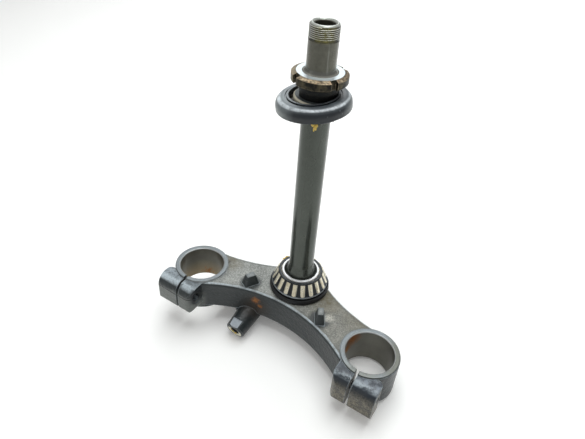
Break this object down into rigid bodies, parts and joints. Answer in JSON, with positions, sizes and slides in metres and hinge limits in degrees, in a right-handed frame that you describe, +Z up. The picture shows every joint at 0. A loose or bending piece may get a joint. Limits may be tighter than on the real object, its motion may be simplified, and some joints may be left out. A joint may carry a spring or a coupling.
{
  "type": "motorcycle triple clamp",
  "caption": "Lower fork yoke with steering stem: two split clamps on curved arms, taper roller bearings, slotted nut and loose dust cover.",
  "frame": {"origin": "steering axis, in the plane of the turned rims on top of the two fork clamps", "axes": "+Z up along the steering axis, +X across to the clamp on the right in the picture, -Y to the front where the clamps open"},
  "size_m": [0.2292, 0.097, 0.2871],
  "materials": {
    "yoke_paint": "satin",
    "stem_steel": "satin",
    "race_steel": "polished",
    "cage_steel": "satin",
    "roller_steel": "polished",
    "nut_steel": "worn",
    "seal_rubber": "matte",
    "cover_paint": "satin"
  },
  "bodies": {
    "clamp": {"yoke": "yoke_paint", "steering_stem": "stem_steel", "lower_dust_seal": "seal_rubber", "lower_inner_race": "race_steel", "upper_inner_race": "race_steel", "adjuster_nut": "nut_steel", "dust_cover": "cover_paint"},
    "lower_cage": {"lower_cage": "cage_steel"},
    "lower_roller_01": {"lower_roller_01": "roller_steel"},
    "lower_roller_02": {"lower_roller_02": "roller_steel"},
    "lower_roller_03": {"lower_roller_03": "roller_steel"},
    "lower_roller_04": {"lower_roller_04": "roller_steel"},
    "lower_roller_05": {"lower_roller_05": "roller_steel"},
    "lower_roller_06": {"lower_roller_06": "roller_steel"},
    "lower_roller_07": {"lower_roller_07": "roller_steel"},
    "lower_roller_08": {"lower_roller_08": "roller_steel"},
    "lower_roller_09": {"lower_roller_09": "roller_steel"},
    "lower_roller_10": {"lower_roller_10": "roller_steel"},
    "lower_roller_11": {"lower_roller_11": "roller_steel"},
    "lower_roller_12": {"lower_roller_12": "roller_steel"},
    "lower_roller_13": {"lower_roller_13": "roller_steel"},
    "lower_roller_14": {"lower_roller_14": "roller_steel"},
    "lower_roller_15": {"lower_roller_15": "roller_steel"},
    "lower_roller_16": {"lower_roller_16": "roller_steel"},
    "lower_roller_17": {"lower_roller_17": "roller_steel"},
    "lower_roller_18": {"lower_roller_18": "roller_steel"},
    "lower_roller_19": {"lower_roller_19": "roller_steel"},
    "upper_cage": {"upper_cage": "cage_steel"},
    "upper_roller_01": {"upper_roller_01": "roller_steel"},
    "upper_roller_02": {"upper_roller_02": "roller_steel"},
    "upper_roller_03": {"upper_roller_03": "roller_steel"},
    "upper_roller_04": {"upper_roller_04": "roller_steel"},
    "upper_roller_05": {"upper_roller_05": "roller_steel"},
    "upper_roller_06": {"upper_roller_06": "roller_steel"},
    "upper_roller_07": {"upper_roller_07": "roller_steel"},
    "upper_roller_08": {"upper_roller_08": "roller_steel"},
    "upper_roller_09": {"upper_roller_09": "roller_steel"},
    "upper_roller_10": {"upper_roller_10": "roller_steel"},
    "upper_roller_11": {"upper_roller_11": "roller_steel"},
    "upper_roller_12": {"upper_roller_12": "roller_steel"},
    "upper_roller_13": {"upper_roller_13": "roller_steel"},
    "upper_roller_14": {"upper_roller_14": "roller_steel"},
    "upper_roller_15": {"upper_roller_15": "roller_steel"},
    "upper_roller_16": {"upper_roller_16": "roller_steel"},
    "upper_roller_17": {"upper_roller_17": "roller_steel"}
  },
  "joints": [
    {"name": "lower_cage_spin", "type": "hinge", "parent": "clamp", "child": "lower_cage", "pos_m": [0, 0, 0.01], "axis": [0, 0, 1], "continuous": true},
    {"name": "lower_roller_01_spin", "type": "hinge", "parent": "lower_cage", "child": "lower_roller_01", "pos_m": [0, -0.02055, 0.01102], "axis": [0, 0.342, 0.9397], "continuous": true},
    {"name": "lower_roller_02_spin", "type": "hinge", "parent": "lower_cage", "child": "lower_roller_02", "pos_m": [0.00667, -0.01944, 0.01102], "axis": [-0.1111, 0.3235, 0.9397], "continuous": true},
    {"name": "lower_roller_03_spin", "type": "hinge", "parent": "lower_cage", "child": "lower_roller_03", "pos_m": [0.01262, -0.01622, 0.01102], "axis": [-0.2101, 0.2699, 0.9397], "continuous": true},
    {"name": "lower_roller_04_spin", "type": "hinge", "parent": "lower_cage", "child": "lower_roller_04", "pos_m": [0.0172, -0.01124, 0.01102], "axis": [-0.2863, 0.1871, 0.9397], "continuous": true},
    {"name": "lower_roller_05_spin", "type": "hinge", "parent": "lower_cage", "child": "lower_roller_05", "pos_m": [0.01992, -0.00504, 0.01102], "axis": [-0.3316, 0.084, 0.9397], "continuous": true},
    {"name": "lower_roller_06_spin", "type": "hinge", "parent": "lower_cage", "child": "lower_roller_06", "pos_m": [0.02048, 0.0017, 0.01102], "axis": [-0.3409, -0.0282, 0.9397], "continuous": true},
    {"name": "lower_roller_07_spin", "type": "hinge", "parent": "lower_cage", "child": "lower_roller_07", "pos_m": [0.01882, 0.00825, 0.01102], "axis": [-0.3132, -0.1374, 0.9397], "continuous": true},
    {"name": "lower_roller_08_spin", "type": "hinge", "parent": "lower_cage", "child": "lower_roller_08", "pos_m": [0.01512, 0.01392, 0.01102], "axis": [-0.2516, -0.2316, 0.9397], "continuous": true},
    {"name": "lower_roller_09_spin", "type": "hinge", "parent": "lower_cage", "child": "lower_roller_09", "pos_m": [0.00978, 0.01807, 0.01102], "axis": [-0.1628, -0.3008, 0.9397], "continuous": true},
    {"name": "lower_roller_10_spin", "type": "hinge", "parent": "lower_cage", "child": "lower_roller_10", "pos_m": [0.00338, 0.02027, 0.01102], "axis": [-0.0563, -0.3374, 0.9397], "continuous": true},
    {"name": "lower_roller_11_spin", "type": "hinge", "parent": "lower_cage", "child": "lower_roller_11", "pos_m": [-0.00338, 0.02027, 0.01102], "axis": [0.0563, -0.3374, 0.9397], "continuous": true},
    {"name": "lower_roller_12_spin", "type": "hinge", "parent": "lower_cage", "child": "lower_roller_12", "pos_m": [-0.00978, 0.01807, 0.01102], "axis": [0.1628, -0.3008, 0.9397], "continuous": true},
    {"name": "lower_roller_13_spin", "type": "hinge", "parent": "lower_cage", "child": "lower_roller_13", "pos_m": [-0.01512, 0.01392, 0.01102], "axis": [0.2516, -0.2316, 0.9397], "continuous": true},
    {"name": "lower_roller_14_spin", "type": "hinge", "parent": "lower_cage", "child": "lower_roller_14", "pos_m": [-0.01882, 0.00825, 0.01102], "axis": [0.3132, -0.1374, 0.9397], "continuous": true},
    {"name": "lower_roller_15_spin", "type": "hinge", "parent": "lower_cage", "child": "lower_roller_15", "pos_m": [-0.02048, 0.0017, 0.01102], "axis": [0.3409, -0.0282, 0.9397], "continuous": true},
    {"name": "lower_roller_16_spin", "type": "hinge", "parent": "lower_cage", "child": "lower_roller_16", "pos_m": [-0.01992, -0.00504, 0.01102], "axis": [0.3316, 0.084, 0.9397], "continuous": true},
    {"name": "lower_roller_17_spin", "type": "hinge", "parent": "lower_cage", "child": "lower_roller_17", "pos_m": [-0.0172, -0.01124, 0.01102], "axis": [0.2863, 0.1871, 0.9397], "continuous": true},
    {"name": "lower_roller_18_spin", "type": "hinge", "parent": "lower_cage", "child": "lower_roller_18", "pos_m": [-0.01262, -0.01622, 0.01102], "axis": [0.2101, 0.2699, 0.9397], "continuous": true},
    {"name": "lower_roller_19_spin", "type": "hinge", "parent": "lower_cage", "child": "lower_roller_19", "pos_m": [-0.00667, -0.01944, 0.01102], "axis": [0.1111, 0.3235, 0.9397], "continuous": true},
    {"name": "upper_cage_spin", "type": "hinge", "parent": "clamp", "child": "upper_cage", "pos_m": [0, 0, 0.1805], "axis": [0, 0, 1], "continuous": true},
    {"name": "upper_roller_01_spin", "type": "hinge", "parent": "upper_cage", "child": "upper_roller_01", "pos_m": [0, 0.0173, 0.1796], "axis": [0, -0.342, -0.9397], "continuous": true},
    {"name": "upper_roller_02_spin", "type": "hinge", "parent": "upper_cage", "child": "upper_roller_02", "pos_m": [0.00625, 0.01613, 0.1796], "axis": [-0.1236, -0.3189, -0.9397], "continuous": true},
    {"name": "upper_roller_03_spin", "type": "hinge", "parent": "upper_cage", "child": "upper_roller_03", "pos_m": [0.01165, 0.01278, 0.1796], "axis": [-0.2304, -0.2528, -0.9397], "continuous": true},
    {"name": "upper_roller_04_spin", "type": "hinge", "parent": "upper_cage", "child": "upper_roller_04", "pos_m": [0.01549, 0.00771, 0.1796], "axis": [-0.3062, -0.1525, -0.9397], "continuous": true},
    {"name": "upper_roller_05_spin", "type": "hinge", "parent": "upper_cage", "child": "upper_roller_05", "pos_m": [0.01723, 0.0016, 0.1796], "axis": [-0.3406, -0.0316, -0.9397], "continuous": true},
    {"name": "upper_roller_06_spin", "type": "hinge", "parent": "upper_cage", "child": "upper_roller_06", "pos_m": [0.01664, -0.00473, 0.1796], "axis": [-0.329, 0.0936, -0.9397], "continuous": true},
    {"name": "upper_roller_07_spin", "type": "hinge", "parent": "upper_cage", "child": "upper_roller_07", "pos_m": [0.01381, -0.01043, 0.1796], "axis": [-0.2729, 0.2061, -0.9397], "continuous": true},
    {"name": "upper_roller_08_spin", "type": "hinge", "parent": "upper_cage", "child": "upper_roller_08", "pos_m": [0.00911, -0.01471, 0.1796], "axis": [-0.1801, 0.2908, -0.9397], "continuous": true},
    {"name": "upper_roller_09_spin", "type": "hinge", "parent": "upper_cage", "child": "upper_roller_09", "pos_m": [0.00318, -0.01701, 0.1796], "axis": [-0.0628, 0.3362, -0.9397], "continuous": true},
    {"name": "upper_roller_10_spin", "type": "hinge", "parent": "upper_cage", "child": "upper_roller_10", "pos_m": [-0.00318, -0.01701, 0.1796], "axis": [0.0628, 0.3362, -0.9397], "continuous": true},
    {"name": "upper_roller_11_spin", "type": "hinge", "parent": "upper_cage", "child": "upper_roller_11", "pos_m": [-0.00911, -0.01471, 0.1796], "axis": [0.1801, 0.2908, -0.9397], "continuous": true},
    {"name": "upper_roller_12_spin", "type": "hinge", "parent": "upper_cage", "child": "upper_roller_12", "pos_m": [-0.01381, -0.01043, 0.1796], "axis": [0.2729, 0.2061, -0.9397], "continuous": true},
    {"name": "upper_roller_13_spin", "type": "hinge", "parent": "upper_cage", "child": "upper_roller_13", "pos_m": [-0.01664, -0.00473, 0.1796], "axis": [0.329, 0.0936, -0.9397], "continuous": true},
    {"name": "upper_roller_14_spin", "type": "hinge", "parent": "upper_cage", "child": "upper_roller_14", "pos_m": [-0.01723, 0.0016, 0.1796], "axis": [0.3406, -0.0316, -0.9397], "continuous": true},
    {"name": "upper_roller_15_spin", "type": "hinge", "parent": "upper_cage", "child": "upper_roller_15", "pos_m": [-0.01549, 0.00771, 0.1796], "axis": [0.3062, -0.1525, -0.9397], "continuous": true},
    {"name": "upper_roller_16_spin", "type": "hinge", "parent": "upper_cage", "child": "upper_roller_16", "pos_m": [-0.01165, 0.01278, 0.1796], "axis": [0.2304, -0.2528, -0.9397], "continuous": true},
    {"name": "upper_roller_17_spin", "type": "hinge", "parent": "upper_cage", "child": "upper_roller_17", "pos_m": [-0.00625, 0.01613, 0.1796], "axis": [0.1236, -0.3189, -0.9397], "continuous": true}
  ],
  "couplings": [
    {"joint": "lower_roller_01_spin", "follows": "lower_cage_spin", "ratio": 6.9642},
    {"joint": "lower_roller_02_spin", "follows": "lower_cage_spin", "ratio": 6.9642},
    {"joint": "lower_roller_03_spin", "follows": "lower_cage_spin", "ratio": 6.9642},
    {"joint": "lower_roller_04_spin", "follows": "lower_cage_spin", "ratio": 6.9642},
    {"joint": "lower_roller_05_spin", "follows": "lower_cage_spin", "ratio": 6.9642},
    {"joint": "lower_roller_06_spin", "follows": "lower_cage_spin", "ratio": 6.9642},
    {"joint": "lower_roller_07_spin", "follows": "lower_cage_spin", "ratio": 6.9642},
    {"joint": "lower_roller_08_spin", "follows": "lower_cage_spin", "ratio": 6.9642},
    {"joint": "lower_roller_09_spin", "follows": "lower_cage_spin", "ratio": 6.9642},
    {"joint": "lower_roller_10_spin", "follows": "lower_cage_spin", "ratio": 6.9642},
    {"joint": "lower_roller_11_spin", "follows": "lower_cage_spin", "ratio": 6.9642},
    {"joint": "lower_roller_12_spin", "follows": "lower_cage_spin", "ratio": 6.9642},
    {"joint": "lower_roller_13_spin", "follows": "lower_cage_spin", "ratio": 6.9642},
    {"joint": "lower_roller_14_spin", "follows": "lower_cage_spin", "ratio": 6.9642},
    {"joint": "lower_roller_15_spin", "follows": "lower_cage_spin", "ratio": 6.9642},
    {"joint": "lower_roller_16_spin", "follows": "lower_cage_spin", "ratio": 6.9642},
    {"joint": "lower_roller_17_spin", "follows": "lower_cage_spin", "ratio": 6.9642},
    {"joint": "lower_roller_18_spin", "follows": "lower_cage_spin", "ratio": 6.9642},
    {"joint": "lower_roller_19_spin", "follows": "lower_cage_spin", "ratio": 6.9642},
    {"joint": "upper_roller_01_spin", "follows": "upper_cage_spin", "ratio": -6.422},
    {"joint": "upper_roller_02_spin", "follows": "upper_cage_spin", "ratio": -6.422},
    {"joint": "upper_roller_03_spin", "follows": "upper_cage_spin", "ratio": -6.422},
    {"joint": "upper_roller_04_spin", "follows": "upper_cage_spin", "ratio": -6.422},
    {"joint": "upper_roller_05_spin", "follows": "upper_cage_spin", "ratio": -6.422},
    {"joint": "upper_roller_06_spin", "follows": "upper_cage_spin", "ratio": -6.422},
    {"joint": "upper_roller_07_spin", "follows": "upper_cage_spin", "ratio": -6.422},
    {"joint": "upper_roller_08_spin", "follows": "upper_cage_spin", "ratio": -6.422},
    {"joint": "upper_roller_09_spin", "follows": "upper_cage_spin", "ratio": -6.422},
    {"joint": "upper_roller_10_spin", "follows": "upper_cage_spin", "ratio": -6.422},
    {"joint": "upper_roller_11_spin", "follows": "upper_cage_spin", "ratio": -6.422},
    {"joint": "upper_roller_12_spin", "follows": "upper_cage_spin", "ratio": -6.422},
    {"joint": "upper_roller_13_spin", "follows": "upper_cage_spin", "ratio": -6.422},
    {"joint": "upper_roller_14_spin", "follows": "upper_cage_spin", "ratio": -6.422},
    {"joint": "upper_roller_15_spin", "follows": "upper_cage_spin", "ratio": -6.422},
    {"joint": "upper_roller_16_spin", "follows": "upper_cage_spin", "ratio": -6.422},
    {"joint": "upper_roller_17_spin", "follows": "upper_cage_spin", "ratio": -6.422}
  ]
}
